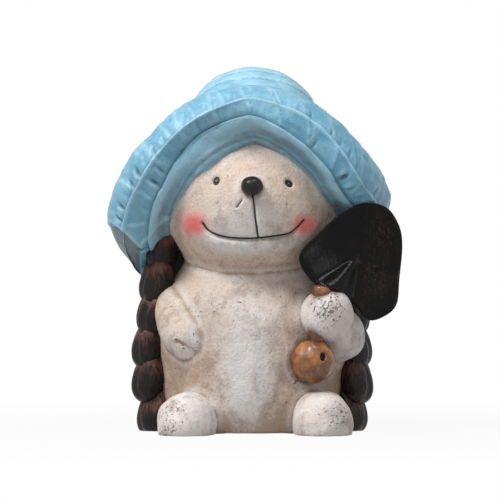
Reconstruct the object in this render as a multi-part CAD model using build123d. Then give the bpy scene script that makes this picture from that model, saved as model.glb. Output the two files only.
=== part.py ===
from build123d import *
import os
from math import cos, radians, sin

# Hedgehog garden figure, hollow cast terracotta, standing on Z = 0 and facing -Y.
# Millimetres. X is to the viewer's right, so the animal's own left is at +X.

# Walls and cuts shared by all pieces
wall = 5.0
base_thickness = 6.0
overrun = 4.0
pour_hole_radius = 6.0
pour_hole_y = -14.0

# Torso, turned about the Z axis and parted at the seam plane
belly_radius = 39.0
belly_height = 78.0
belly_shares = (
    (0.87, 0.0), (0.965, 0.12), (1.0, 0.32), (1.0, 0.51),
    (0.965, 0.64), (0.87, 0.77), (0.7, 0.9), (0.5, 1.0),
)
coat_radius = 45.0
coat_height = 93.0
coat_shares = (
    (0.845, 0.0), (0.935, 0.09), (0.985, 0.18), (1.0, 0.29), (0.975, 0.44),
    (0.91, 0.7), (0.88, 0.81), (0.78, 0.92), (0.6, 1.0),
)
seam_y = 0.0

# Head, a hollow ball with incised lines
head_radius = 34.0
head_y = -8.0
head_z = 92.0
neck_vent_radius = 6.0
line_width = 1.4
line_depth = 0.9
mouth_half_width = 20.7
mouth_drop = 6.6
mouth_z = 80.2
mouth_shares = ((-0.97, 0.9), (-0.8, 0.4), (-0.34, 0.02), (0.1, 0.0), (0.62, 0.22), (1.03, 1.05))
lip_line_foot_x = 2.4
eye_half_width = 1.1
eye_half_height = 1.7
eye_ring = 0.6
right_eye = (-14.8, 103.5)
left_eye = (15.1, 102.5)
eye_lean = 25.0

# Nose ball, sunk a little into the muzzle
nose_radius = 4.2
nose_z = 101.3
nose_sink = 2.0

# Sun hat, tilted back; section places are shares of the brim radius, out from and up along the hat axis
hat_tilt = 45.0
hat_y = -2.0
hat_z = 100.0
brim_radius = 58.0
brim_bore_radius = 25.5
strip_step = 1.0
crown_radius = 29.5
crown_land = 29.0
crown_shift = 0.5
land_margin = 1.5
# Stations at angles from the front; a row each of inner hem, strip line 1, strip line 2 and rim top
station_angles = (0.0, 30.0, 60.0, 90.0, 120.0, 180.0)
brim_front_shares = ((0.47, -0.11), (0.817, -0.078), (0.897, 0.031), (0.836, 0.19))
brim_rear_shares = ((0.47, -0.03), (0.862, -0.03), (0.966, 0.035), (0.99, 0.155))
brim_right_shares = (
    brim_front_shares,
    ((0.47, -0.319), (0.776, -0.143), (0.897, -0.117), (0.862, 0.143)),
    ((0.47, -0.293), (0.741, -0.388), (0.897, -0.336), (0.966, -0.112)),
    ((0.47, -0.207), (0.733, -0.483), (0.922, -0.457), (1.031, -0.267)),
    ((0.47, -0.138), (0.759, -0.379), (0.94, -0.414), (1.017, -0.19)),
    brim_rear_shares,
)
brim_left_shares = (
    brim_front_shares,
    ((0.47, -0.162), (0.776, -0.259), (0.897, -0.117), (0.862, 0.119)),
    ((0.47, -0.228), (0.741, -0.438), (0.897, -0.412), (0.931, -0.103)),
    ((0.47, -0.16), (0.724, -0.319), (0.888, -0.276), (0.991, -0.103)),
    ((0.47, -0.121), (0.741, -0.241), (0.905, -0.172), (0.991, -0.017)),
    brim_rear_shares,
)
hem_bulge_share = 0.05
strip_bulge_share = 0.12
top_bulge_share = -0.04
brim_stations = 13

# Arms: a rounded limb each, from shoulder to paw tip, and the fist round the trowel
right_arm_radius = 9.2
right_shoulder = (-36.5, -9.5, 58.5)
right_paw_tip = (-23.0, -34.5, 31.5)
left_arm_radius = 8.2
left_elbow = (38.0, -10.0, 35.5)
left_paw_tip = (32.0, -36.0, 50.5)
fist_radius = 9.8
fist = (30.7, -33.5, 50.0)

# Feet, flat underneath
foot_half_width = 11.8
foot_half_length = 13.0
foot_half_height = 13.5
foot_x = 28.0
foot_y = -36.0
foot_z = 4.0

# Trowel: ball end, shaft through the fist, dished blade
knob_radius = 9.0
knob = (25.0, -35.5, 30.0)
hang_hole_radius = 1.5
hang_hole_depth = 5.0
hang_hole_x = 3.8
hang_hole_z = 2.0
shaft_radius = 3.6
blade_root = (34.0, -30.5, 60.3)
blade_axis = (0.586, 0.251, 0.77)
blade_face = (0.259, -0.959, 0.115)
blade_length = 38.0
blade_half_width = 22.0
blade_thickness = 3.5
blade_dish_radius = 60.0
blade_shares = ((0.0, 0.0), (0.0, 0.6), (0.13, 0.98), (0.52, 0.86), (0.8, 0.55), (1.0, 0.0))
socket_radius = 4.8
socket_tip_radius = 1.2
socket_length = 16.0

# Quill scales in staggered rows, the upper row over the lower one
quill_rows = 6
quills_per_row = 10
quill_radius = 8.0
quill_half_length = 10.5
quill_stand = 5.0
quill_lean = 12.0
quill_row_pitch = 13.6
quill_top_z = 76.5
quill_arc = 196.0
quill_least_share = 0.06
# The brim hides the top row's scales further back than this
top_row_back_y = 20.0


def turned(points, tangents=None, smooth=True):
    """Solid turned about Z from a line of (radius, height) points."""
    side = Spline(*points, tangents=tangents) if smooth else Polyline(*points)
    low = (0, points[0][1])
    high = (0, points[-1][1])
    edges = [side, Line(high, low)]
    if points[0][0] > 0:
        edges.append(Line(low, points[0]))
    if points[-1][0] > 0:
        edges.append(Line(points[-1], high))
    return revolve(Plane.XZ * make_face(edges), Axis.Z)


def half_space(y_side):
    """Large block on one side of the seam plane, used to part the torso."""
    size = 2 * (coat_radius + coat_height)
    return Pos(0, seam_y + y_side * size / 2, 0) * Box(size, size, size)


def body_profile(shares, radius, height, inset=0):
    """Radius and height points of a torso form, moved inwards by the inset."""
    return [(share_r * radius - inset, share_z * height) for share_r, share_z in shares]


def coat_radius_at(height):
    """Radius of the coat at a height, read between the rows of its table."""
    rows = body_profile(coat_shares, coat_radius, coat_height)
    for (r_low, z_low), (r_high, z_high) in zip(rows, rows[1:]):
        if height <= z_high:
            return r_low + (r_high - r_low) * (height - z_low) / (z_high - z_low)
    return rows[-1][0]


def make_torso(head_form):
    """Belly and coat shells, and the solid forms of both that other pieces seat on."""
    belly_form = turned(body_profile(belly_shares, belly_radius, belly_height)) & half_space(-1)
    coat_points = body_profile(coat_shares, coat_radius, coat_height)
    coat_form = turned(coat_points, smooth=False) & half_space(1)
    hollow_points = body_profile(belly_shares, belly_radius, belly_height, wall)
    floor_radius = hollow_points[0][0]
    hollow = turned([(floor_radius, base_thickness)] + hollow_points[1:])
    pour_hole = Pos(0, pour_hole_y, 0) * Cylinder(pour_hole_radius, 2 * base_thickness + overrun)
    belly = belly_form - hollow - head_form - pour_hole
    coat = coat_form - hollow - head_form
    return belly, coat, belly_form, coat_form


def make_head_form(inset=0):
    """The head's outer ball, or the same ball moved inwards."""
    return Pos(0, head_y, head_z) * Sphere(head_radius - inset)


def mouth_point(share):
    """Place on the face, as X and Z, of one share of the mouth line."""
    return (share[0] * mouth_half_width, mouth_z + share[1] * mouth_drop)


def make_face_lines():
    """Cutter for the mouth, the lip line and the eye rings, as deep as the incised lines."""
    mouth = trace(Spline(*[mouth_point(share) for share in mouth_shares]), line_width)
    lip = trace(Line((0, nose_z), (lip_line_foot_x, mouth_z)), line_width)
    lines = mouth + lip
    for (x, z), lean in ((right_eye, -eye_lean), (left_eye, eye_lean)):
        ring = Ellipse(eye_half_width, eye_half_height)
        ring -= Ellipse(eye_half_width - eye_ring, eye_half_height - eye_ring)
        lines += Pos(x, z) * Rot(0, 0, lean) * ring
    prism = extrude(Plane.XZ * lines, head_radius - head_y + overrun)
    return prism - make_head_form(line_depth)


def make_head(head_form, hat_plane):
    """Hollow head with incised lines, a vent to the torso and one to the crown."""
    reach = head_radius + overrun
    neck_vent = Pos(0, 0, head_z - reach / 2) * Cylinder(neck_vent_radius, reach)
    crown_vent = hat_plane * Pos(0, 0, reach / 2) * Cylinder(neck_vent_radius, reach)
    lined = head_form - make_face_lines()
    return lined - make_head_form(wall) - neck_vent - crown_vent


def make_nose(head_form):
    """Nose ball, seated on the muzzle."""
    front = head_y - (head_radius**2 - (nose_z - head_z) ** 2) ** 0.5
    return Pos(0, front + nose_sink - nose_radius, nose_z) * Sphere(nose_radius) - head_form


def station_points(angle):
    """Brim section at an angle from the front, read between the stations of its side."""
    side = brim_left_shares if angle % 360 < 180 else brim_right_shares
    away = min(angle % 360, 360 - angle % 360)
    i = 0
    while i < len(station_angles) - 2 and away > station_angles[i + 1]:
        i += 1
    share = (away - station_angles[i]) / (station_angles[i + 1] - station_angles[i])
    points = []
    for near, far in zip(side[i], side[i + 1]):
        out, up = (n + (f - n) * share for n, f in zip(near, far))
        points.append(Vector(out * brim_radius, up * brim_radius))
    return points


def bowed(start, end, bulge_share):
    """Arc between two section points that bows to the outside of the brim."""
    chord = end - start
    middle = (start + end) / 2 + Vector(chord.Y, -chord.X) * bulge_share
    return ThreePointArc(start, middle, end)


def brim_section(angle):
    """Closed brim section: land, sloping top, three strips that step up over each other, and the bore."""
    hem, line_1, line_2, rim = station_points(angle)
    land_out = Vector(crown_radius + crown_shift + land_margin, crown_land)
    land_in = Vector(brim_bore_radius, crown_land)
    core = (hem + land_out) / 2
    under_1 = line_1 + (core - line_1).normalized() * strip_step
    under_2 = line_2 + (core - line_2).normalized() * strip_step
    edges = [
        bowed(hem, line_1, hem_bulge_share),
        Line(line_1, under_1),
        bowed(under_1, line_2, strip_bulge_share),
        Line(line_2, under_2),
        bowed(under_2, rim, strip_bulge_share),
        bowed(rim, land_out, top_bulge_share),
        Line(land_out, land_in),
        Line(land_in, hem),
    ]
    turn = radians(angle)
    plane = Plane((0, 0, 0), x_dir=(cos(turn), sin(turn), 0), z_dir=(sin(turn), -cos(turn), 0))
    return plane * make_face(edges)


def make_hat(hat_plane, head_form, coat_form):
    """Brim of three plaited strips, drooping at the sides, and the hollow crown on its land."""
    step = 180 / (brim_stations - 1)
    halves = []
    for start in (-90, 90):
        sections = [brim_section(start + i * step) for i in range(brim_stations)]
        halves.append(loft(sections))
    brim = hat_plane * (halves[0] + halves[1]) - head_form - coat_form
    dome = Sphere(crown_radius) - Sphere(crown_radius - wall)
    dome = split(dome, Plane.XY)
    crown = hat_plane * Pos(0, crown_shift, crown_land) * dome
    return brim, crown


def rounded_bar(radius, half_length):
    """Round bar about Z with ball ends."""
    half_bar = half_length - radius
    low = CenterArc((0, -half_bar), radius, -90, 90)
    tip = CenterArc((0, half_bar), radius, 0, 90)
    side = Line((radius, -half_bar), (radius, half_bar))
    axis = Line((0, half_bar + radius), (0, -half_bar - radius))
    return revolve(Plane.XZ * make_face([low, side, tip, axis]), Axis.Z)


def make_limb(start, end, radius):
    """Rounded limb that reaches from one place to another."""
    start = Vector(start)
    reach = Vector(end) - start
    half_length = reach.length / 2
    return Plane(start + reach / 2, z_dir=reach.normalized()) * rounded_bar(radius, half_length)


def make_foot(side, belly_form):
    """Rounded foot, flat on the ground and seated on the belly."""
    egg = scale(Sphere(1), by=(foot_half_width, foot_half_length, foot_half_height))
    foot = Pos(side * foot_x, foot_y, foot_z) * egg
    return split(foot, Plane.XY) - belly_form


def make_blade():
    """Dished trowel blade with the tapered socket ridge on its face."""
    outline = []
    for along, across in blade_shares:
        outline.append((along * blade_length, across * blade_half_width))
    mirrored = [(x, -y) for x, y in reversed(outline[1:-1])]
    face = make_face(Spline(*outline, *mirrored, periodic=True))
    deep = blade_dish_radius / 2
    prism = Pos(0, 0, -deep / 2) * extrude(face, deep)
    shell = Sphere(blade_dish_radius + blade_thickness) - Sphere(blade_dish_radius)
    dished = prism & Pos(blade_length / 2, 0, blade_dish_radius) * shell
    rise = blade_length**2 / (8 * blade_dish_radius)
    socket_foot = Vector(0, 0, rise)
    socket_run = Vector(socket_length, 0, -rise).normalized()
    cone = Pos(0, 0, socket_length / 2) * Cone(socket_radius, socket_tip_radius, socket_length)
    ridge = Plane(socket_foot, z_dir=socket_run) * cone
    frame = Plane(blade_root, x_dir=blade_axis, z_dir=blade_face)
    return frame * (dished + ridge), frame.from_local_coords(socket_foot)


def make_trowel(head_form, belly_form, left_arm):
    """Blade, shaft and ball end, each cut to seat on what it touches."""
    blade, neck = make_blade()
    blade = blade - head_form - left_arm
    ball = Pos(*knob) * Sphere(knob_radius)
    reach = neck - Vector(knob)
    shaft_plane = Plane(knob, z_dir=reach.normalized())
    shaft = shaft_plane * Pos(0, 0, reach.length / 2) * Cylinder(shaft_radius, reach.length)
    handle = shaft - ball - blade
    hole_y = knob[1] - knob_radius + hang_hole_depth / 2 - overrun / 2
    hole = Rot(90, 0, 0) * Cylinder(hang_hole_radius, hang_hole_depth + overrun)
    hole = Pos(knob[0] + hang_hole_x, hole_y, knob[2] + hang_hole_z) * hole
    return blade, handle, ball - belly_form - hole, shaft


def quill_row(row):
    """Scales of one row, side by side, before they are cut to their seats."""
    height = quill_top_z - row * quill_row_pitch
    radius = coat_radius_at(height) + quill_stand - quill_radius
    count = quills_per_row + row % 2
    leaning = Pos(radius, 0, height) * Rot(0, -quill_lean, 0) * rounded_bar(quill_radius, quill_half_length)
    turns = [(180 - quill_arc) / 2 + quill_arc * i / (count - 1) for i in range(count)]
    if row == 0:
        turns = [turn for turn in turns if radius * sin(radians(turn)) < top_row_back_y]
    return [Rot(0, 0, turn) * leaning for turn in turns]


def boxes_meet(first, second):
    """True where the boxes round two solids overlap."""
    a = first.bounding_box(optimal=False)
    b = second.bounding_box(optimal=False)
    gaps = (max(a.min.X, b.min.X) - min(a.max.X, b.max.X),
            max(a.min.Y, b.min.Y) - min(a.max.Y, b.max.Y),
            max(a.min.Z, b.min.Z) - min(a.max.Z, b.max.Z))
    return max(gaps) < 0


def trimmed(solid, cutters):
    """The main piece of a scale, less every cutter that reaches it."""
    whole = solid.volume
    for cutter in cutters:
        if solid is not None and boxes_meet(solid, cutter):
            left = (solid - cutter).solids()
            solid = max(left, key=lambda piece: piece.volume) if left else None
    if solid is None or solid.volume < quill_least_share * whole:
        return []
    return [solid]


def make_quills(seats, arms):
    """Rows of scales from the top down, each cut by its seats, its neighbours and the row above."""
    ground = Pos(0, 0, -coat_radius) * Box(4 * coat_radius, 4 * coat_radius, 2 * coat_radius)
    rows = []
    above = []
    for row in range(quill_rows):
        scales = quill_row(row)
        kept = []
        for i, scale_form in enumerate(scales):
            beside = scales[max(i - 1, 0):i + 2:2] if i % 2 else []
            kept += trimmed(scale_form, [*seats, ground, *arms, *above, *beside])
        rows.append(Compound(children=kept))
        above = scales
    return rows


hat_axis = (0, sin(radians(hat_tilt)), cos(radians(hat_tilt)))
hat_front = (0, -cos(radians(hat_tilt)), sin(radians(hat_tilt)))
hat_plane = Plane((0, hat_y, hat_z), x_dir=hat_front, z_dir=hat_axis)

head_form = make_head_form()
belly, coat, belly_form, coat_form = make_torso(head_form)
brim, crown = make_hat(hat_plane, head_form, coat_form)
right_arm = make_limb(right_shoulder, right_paw_tip, right_arm_radius) - belly_form - coat_form
left_arm_form = make_limb(left_elbow, left_paw_tip, left_arm_radius) + Pos(*fist) * Sphere(fist_radius)
blade, handle, ball_end, shaft = make_trowel(head_form, belly_form, left_arm_form)
left_arm = left_arm_form - belly_form - coat_form - shaft
quills = make_quills((coat_form, belly_form, head_form, brim), (right_arm, left_arm))

nodes = {
    "belly_shell": belly,
    "quill_coat": coat,
    "head": make_head(head_form, hat_plane),
    "nose": make_nose(head_form),
    "hat_brim": brim,
    "hat_crown": crown,
    "right_arm": right_arm,
    "left_arm": left_arm,
    "right_foot": make_foot(-1, belly_form),
    "left_foot": make_foot(1, belly_form),
    "trowel_blade": blade,
    "trowel_handle": handle,
    "trowel_knob": ball_end,
}
for number, row in enumerate(quills, start=1):
    nodes[f"quill_row_{number}"] = row

os.makedirs("parts", exist_ok=True)
for name, solid in nodes.items():
    export_step(solid, f"parts/{name}.step")
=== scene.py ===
import math

import bmesh
import bpy
import numpy as np
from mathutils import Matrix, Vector
from mathutils.bvhtree import BVHTree


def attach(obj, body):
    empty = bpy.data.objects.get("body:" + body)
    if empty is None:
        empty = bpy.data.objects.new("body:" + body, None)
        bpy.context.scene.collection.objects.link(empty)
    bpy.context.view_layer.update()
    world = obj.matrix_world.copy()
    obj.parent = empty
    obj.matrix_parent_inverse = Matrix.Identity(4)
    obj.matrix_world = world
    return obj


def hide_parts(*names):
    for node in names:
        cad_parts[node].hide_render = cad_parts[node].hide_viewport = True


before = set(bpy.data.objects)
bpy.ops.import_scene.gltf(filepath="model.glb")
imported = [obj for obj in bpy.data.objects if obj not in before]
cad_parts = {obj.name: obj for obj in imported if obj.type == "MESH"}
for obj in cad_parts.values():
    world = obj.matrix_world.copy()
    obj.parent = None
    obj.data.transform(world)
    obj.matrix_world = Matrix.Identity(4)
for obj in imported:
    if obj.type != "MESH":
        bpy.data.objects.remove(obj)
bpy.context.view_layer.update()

bl_info = {
    "name": "Hedgehog Garden Figure",
    "version": (1, 0, 0),
    "blender": (4, 5, 0),
    "location": "3D View > Sidebar > Hedgehog",
    "description": "Models and paints a cast hedgehog in a plaited sun hat, holding a trowel",
    "category": "Object",
}

# Shapes are worked out in millimetres and written to the meshes in metres.
MM = 0.001

# The photograph's frame: its side in pixels, millimetres a pixel, the column of the figure's axis, the row
# of its feet, how far the camera looks down, and how far the feet's front then shows below the origin
PHOTO_SIDE = 500
PIXEL = 0.413
AXIS_COLUMN = 252.0
FEET_ROW = 432.8
CAMERA_RISE = math.radians(1.6)
FEET_DROP = -1.26

# Torso profile, radius and height from the ground up, and the plane where its front half ends
BELLY_PROFILE = (
    (0, 0), (31.5, 0), (33.2, 0.4), (34.2, 1.6), (37.4, 9.4), (39.2, 25), (39.2, 40),
    (37.8, 50), (34.2, 60), (27.5, 70), (19.5, 78), (0, 80),
)
BELLY_BACK = 3.0
HEAD_CENTRE = np.array((0.0, -8.0, 92.0))
HAT_CENTRE = np.array((0.0, -2.0, 100.0))
HAT_TILT = math.radians(45.0)
HAT_AXIS = np.array((0.0, math.sin(HAT_TILT), math.cos(HAT_TILT)))
HAT_FRONT = np.array((0.0, -math.cos(HAT_TILT), math.sin(HAT_TILT)))
HAT_SIDE = np.array((1.0, 0.0, 0.0))

# Brim stations at angles from the front, out from and up along the hat axis, as shares of the brim
# radius: inner hem, strip line 1, strip line 2, rim
STATION_ANGLES = (0.0, 30.0, 60.0, 90.0, 120.0, 180.0)
BRIM_FRONT = ((0.47, -0.11), (0.817, -0.078), (0.897, 0.031), (0.836, 0.19))
BRIM_REAR = ((0.47, -0.03), (0.862, -0.03), (0.966, 0.035), (0.99, 0.155))
BRIM_RIGHT = (
    BRIM_FRONT,
    ((0.47, -0.319), (0.776, -0.143), (0.897, -0.117), (0.862, 0.143)),
    ((0.47, -0.293), (0.741, -0.388), (0.897, -0.336), (0.966, -0.112)),
    ((0.47, -0.207), (0.733, -0.483), (0.922, -0.457), (1.031, -0.267)),
    ((0.47, -0.138), (0.759, -0.379), (0.94, -0.414), (1.017, -0.19)),
    BRIM_REAR,
)
BRIM_LEFT = (
    BRIM_FRONT,
    ((0.47, -0.162), (0.776, -0.259), (0.897, -0.117), (0.862, 0.119)),
    ((0.47, -0.228), (0.741, -0.438), (0.897, -0.412), (0.931, -0.103)),
    ((0.47, -0.16), (0.724, -0.319), (0.888, -0.276), (0.991, -0.103)),
    ((0.47, -0.121), (0.741, -0.241), (0.905, -0.172), (0.991, -0.017)),
    BRIM_REAR,
)
# Where the brim's strips end at the lower left, as pixels of the photograph
BAND_END = ((117, 224), (141, 246), (167, 216))
CROWN_LAND = 29.0
CROWN_SHIFT = 0.5

# Painted and incised lines of the face, as pixels of the photograph. An eye is its column, row, width,
# height and lean in degrees.
MOUTH = ((203, 224), (209, 231), (220, 236), (235, 238.5), (259, 238), (285, 234.6), (295, 229), (304, 221))
LIP_LINE = ((252, 194), (254, 205), (255, 216), (256, 224), (258, 238))
SCRATCH = ((242, 201), (237, 208))
EYES = ((216.0, 181.5, 6.2, 8.8, 25.0), (289.0, 184.0, 6.2, 9.0, -50.0))
NOSE_PLACE = (252.0, 187.0)

# Trowel: the blade's outline and socket as pixels of the photograph, its root, slopes across and up, the
# ends of the shaft and the fist that holds it
BLADE_OUTLINE = (
    (298, 257), (316, 235), (338, 215), (362, 204), (384, 207), (397, 224), (401, 245),
    (398, 279), (395, 304), (382, 316), (366, 319), (352, 303), (335, 291), (312, 282),
)
SOCKET = ((336, 286), (358, 254))
BLADE_ROOT = np.array((34.0, -30.5, 60.3))
BLADE_SLOPE = (0.27, 0.12)
KNOB = np.array((25.0, -35.5, 30.0))
NECK = np.array((29.0, -36.4, 60.9))
FIST = np.array((31.0, -33.5, 49.0))


def linear(red, green, blue):
    """Linear colour of a paint swatch given on the usual 0 to 255 scale."""
    parts = [channel / 255 for channel in (red, green, blue)]
    return tuple(p / 12.92 if p <= 0.04045 else ((p + 0.055) / 1.055) ** 2.4 for p in parts)


def length(label, default, words):
    """A size that a user may change, kept in metres."""
    return bpy.props.FloatProperty(name=label, description=words, default=default * MM, unit="LENGTH",
                                   precision=4)


def swatch(label, rgb, words):
    """A paint colour that a user may change."""
    return bpy.props.FloatVectorProperty(name=label, description=words, default=linear(*rgb), size=3,
                                         min=0.0, max=1.0, subtype="COLOR")


class HedgehogSizes(bpy.types.PropertyGroup):
    """Sizes of the figure that a user would change."""

    head_radius: length("Head radius", 34.0, "Radius of the head's ball")
    muzzle: length("Muzzle", 3.6, "How far the muzzle stands out of the face")
    line_depth: length("Line depth", 0.9, "Depth of the incised mouth, lip and eye lines")
    brim_radius: length("Brim radius", 58.0, "Radius of the sun hat's brim")
    crown_radius: length("Crown radius", 29.3, "Radius of the sun hat's crown")
    strip_step: length("Strip step", 1.1, "How far each plaited strip stands over the next")
    stitch_pitch: length("Stitch pitch", 5.6, "Distance between the stitch dimples of the hat")
    quill_length: length("Quill length", 22.0, "Length of one quill scale")
    quill_width: length("Quill width", 16.5, "Width of one quill scale")
    quill_stand: length("Quill stand", 5.2, "How far a quill scale stands off the coat")
    knob_radius: length("Knob radius", 9.0, "Radius of the trowel's ball end")
    shaft_radius: length("Shaft radius", 3.6, "Radius of the trowel's shaft")
    lute: length("Lute", 7.0, "Width of the clay fillet where pieces join")


class HedgehogPaints(bpy.types.PropertyGroup):
    """Paint colours of the figure that a user would change."""

    # Cream is also painted light on the chest and a painted highlight on the lower lip.
    cream: swatch("Cream", (234, 230, 228), "Sprayed white of the belly, paws and muzzle")
    beige: swatch("Beige", (217, 197, 181), "Body colour of the face")
    # Tan is also painted shade on the lower face, the chin and the right side of the belly.
    tan: swatch("Tan", (158, 128, 106), "Tan stain rubbed over the body colour")
    wash: swatch("Wash", (116, 90, 76), "Antique wash that lies in the creases")
    blush: swatch("Blush", (222, 112, 104), "Sprayed cheeks")
    # Ink also fills the knob's hanging hole as painted shade.
    ink: swatch("Ink", (16, 14, 15), "Lines of the face and the nose")
    hat: swatch("Hat blue", (100, 164, 193), "Main colour of the sun hat")
    hat_pale: swatch("Hat pale", (163, 213, 235), "Rubbed high places of the sun hat")
    # Hat wash is also painted shade on the brim's inner side.
    hat_wash: swatch("Hat wash", (70, 88, 98), "Wash in the grooves of the sun hat")
    quill: swatch("Quill", (21, 13, 11), "Dark coat of the quills")
    quill_red: swatch("Quill red", (118, 72, 56), "Dry-brushed streaks of the quills")
    blade: swatch("Blade", (9, 8, 8), "Gloss black of the trowel's blade")
    handle: swatch("Handle", (176, 116, 58), "Tan of the trowel's shaft and knob")
    handle_wash: swatch("Handle wash", (104, 60, 30), "Brown blotches of the shaft and knob")
    floor: swatch("Floor", (188, 188, 188), "Floor and backdrop")


def coords(bm):
    """Vertex places of a bmesh as an array."""
    return np.array([vert.co[:] for vert in bm.verts])


def move_to(bm, places):
    """Puts every vertex of a bmesh at its row of an array."""
    for vert, place in zip(bm.verts, places):
        vert.co = place


def normals(bm):
    """Outward vertex normals of a bmesh as an array."""
    bm.normal_update()
    return np.array([vert.normal[:] for vert in bm.verts])


def raised(bm, heights):
    """Moves every vertex out along its normal by its own height, and returns the new places."""
    places = coords(bm) + normals(bm) * heights[:, None]
    move_to(bm, places)
    return places


def mark(bm, name, values):
    """Keeps one number a vertex, which the paint reads by name."""
    layer = bm.verts.layers.float.new(name)
    for vert, value in zip(bm.verts, values):
        vert[layer] = float(value)


def bell(distance, width):
    """Smooth hump that falls from 1 at no distance."""
    return np.exp(-((distance / width) ** 2))


def fade(values, low, high):
    """Smooth step from 0 at low to 1 at high."""
    t = np.clip((values - low) / (high - low), 0, 1)
    return t * t * (3 - 2 * t)


def oval_share(across, up, oval):
    """Distance from the middle of an oval, 1 at its rim: an oval is its middle and its two half sizes."""
    x, y, wide, high = oval
    return np.hypot((across - x) / wide, (up - y) / high)


def patch(across, up, oval):
    """Soft hump over an oval."""
    return bell(oval_share(across, up, oval), 1)


def ripple(places, wavelength, seed):
    """Gentle waves from several sides, between about -1 and 1."""
    rng = np.random.default_rng(seed)
    total = np.zeros(len(places))
    for _ in range(5):
        way = rng.normal(size=3)
        way *= rng.uniform(0.7, 1.5) * 2 * math.pi / (wavelength * np.linalg.norm(way))
        total += np.sin(places @ way + rng.uniform(0, 2 * math.pi))
    return total / 3


def uneven(places, waves, seed):
    """Hand-made unevenness: ripples of a height and a wavelength, each with a seed of its own."""
    return sum(height * ripple(places, wave, seed + k) for k, (height, wave) in enumerate(waves))


def screen(places):
    """Column and row of the photograph where each place shows."""
    rise = places[:, 2] * math.cos(CAMERA_RISE) + places[:, 1] * math.sin(CAMERA_RISE)
    return AXIS_COLUMN + places[:, 0] / PIXEL, FEET_ROW - (rise - FEET_DROP) / PIXEL


def spot(column, row, depth):
    """Place that shows at a pixel of the photograph, at a depth along Y."""
    rise = (FEET_ROW - row) * PIXEL + FEET_DROP
    height = (rise - depth * math.sin(CAMERA_RISE)) / math.cos(CAMERA_RISE)
    return np.array(((column - AXIS_COLUMN) * PIXEL, depth, height))


def smooth_line(points, count, closed=False):
    """Evenly numbered points on a smooth line through a few."""
    points = np.array(points, float)
    span = len(points) if closed else len(points) - 1
    t = np.linspace(0, span, count, endpoint=not closed)
    i = np.minimum(t.astype(int), span - 1)
    f = (t - i)[:, None]

    def pick(k):
        return points[k % len(points)] if closed else points[np.clip(k, 0, len(points) - 1)]

    a, b, c, d = pick(i - 1), pick(i), pick(i + 1), pick(i + 2)
    return b + 0.5 * f * (c - a + f * (2 * a - 5 * b + 4 * c - d + f * (3 * (b - c) + d - a)))


def line_distance(column, row, points):
    """Distance in pixels from each place to a line of points."""
    best = np.full(len(column), np.inf)
    for (x0, y0), (x1, y1) in zip(points, points[1:]):
        run_x, run_y = x1 - x0, y1 - y0
        t = np.clip(((column - x0) * run_x + (row - y0) * run_y) / (run_x**2 + run_y**2), 0, 1)
        best = np.minimum(best, np.hypot(column - x0 - t * run_x, row - y0 - t * run_y))
    return best


def piece(name, bm, slot, node=None):
    """Object of a finished bmesh, in metres, riding on the figure in place of its CAD node."""
    bmesh.ops.recalc_face_normals(bm, faces=bm.faces)
    bmesh.ops.scale(bm, vec=(MM, MM, MM), verts=bm.verts)
    for face in bm.faces:
        face.smooth = True
    mesh = bpy.data.meshes.new(f"{name}_skin")
    bm.to_mesh(mesh)
    bm.free()
    obj = bpy.data.objects.new(f"{name}_skin", mesh)
    bpy.context.scene.collection.objects.link(obj)
    mesh.materials.append(paint_of(slot))
    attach(obj, "root")
    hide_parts(node or name)


def modified(bm, kind, **settings):
    """The bmesh with its content changed by one modifier."""
    mesh = bpy.data.meshes.new("blank")
    bm.to_mesh(mesh)
    holder = bpy.data.objects.new("blank", mesh)
    bpy.context.scene.collection.objects.link(holder)
    modifier = holder.modifiers.new("shaping", kind)
    for key, value in settings.items():
        setattr(modifier, key, value)
    depsgraph = bpy.context.evaluated_depsgraph_get()
    done = bpy.data.meshes.new_from_object(holder.evaluated_get(depsgraph))
    bm.clear()
    bm.from_mesh(done)
    bpy.data.objects.remove(holder)
    for used in (mesh, done):
        bpy.data.meshes.remove(used)
    return bm


def rounded(bm, levels):
    """The bmesh with its faces divided and smoothed by a subdivision surface."""
    return modified(bm, "SUBSURF", levels=levels, render_levels=levels)


def welded(bm, voxel):
    """The bmesh remade as one skin round all its shells."""
    return modified(bm, "REMESH", mode="VOXEL", voxel_size=voxel)


def relax(bm):
    """Moves every vertex halfway to the middle of its neighbours."""
    axes = {"use_axis_x": True, "use_axis_y": True, "use_axis_z": True}
    bmesh.ops.smooth_vert(bm, verts=bm.verts, factor=0.5, **axes)


def cut_flat(bm, place, way):
    """Cuts off what lies past a plane, the way it faces, and closes the cut."""
    bmesh.ops.bisect_plane(bm, geom=bm.verts[:] + bm.edges[:] + bm.faces[:], plane_co=place, plane_no=way,
                           clear_outer=True)
    bmesh.ops.holes_fill(bm, edges=[edge for edge in bm.edges if edge.is_boundary])
    bmesh.ops.triangulate(bm, faces=[face for face in bm.faces if len(face.verts) > 4])


def turned(profile, steps):
    """Closed shape turned about the Z axis from radius and height points."""
    bm = bmesh.new()
    verts = [bm.verts.new((radius, 0, height)) for radius, height in profile]
    edges = [bm.edges.new(pair) for pair in zip(verts, verts[1:])]
    bmesh.ops.spin(bm, geom=verts + edges, cent=(0, 0, 0), axis=(0, 0, 1), angle=2 * math.pi,
                   steps=steps, use_merge=True)
    bmesh.ops.remove_doubles(bm, verts=bm.verts, dist=0.01)
    return bm


def even_ball(subdivisions):
    """Ball of radius 1 with even faces, and its vertex places."""
    bm = bmesh.new()
    bmesh.ops.create_icosphere(bm, subdivisions=subdivisions, radius=1)
    return bm, coords(bm)


def ringed_ball(around, rings):
    """Ball of radius 1 with its poles on the Z axis, and its vertex places."""
    bm = bmesh.new()
    bmesh.ops.create_uvsphere(bm, u_segments=around, v_segments=rings, radius=1)
    return bm, coords(bm)


def blunting(height, amount):
    """How much wider a ball's rings get, by their height on it, so that its ends turn blunt."""
    return np.clip(1 - height**2, 1e-6, 1) ** -amount


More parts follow.
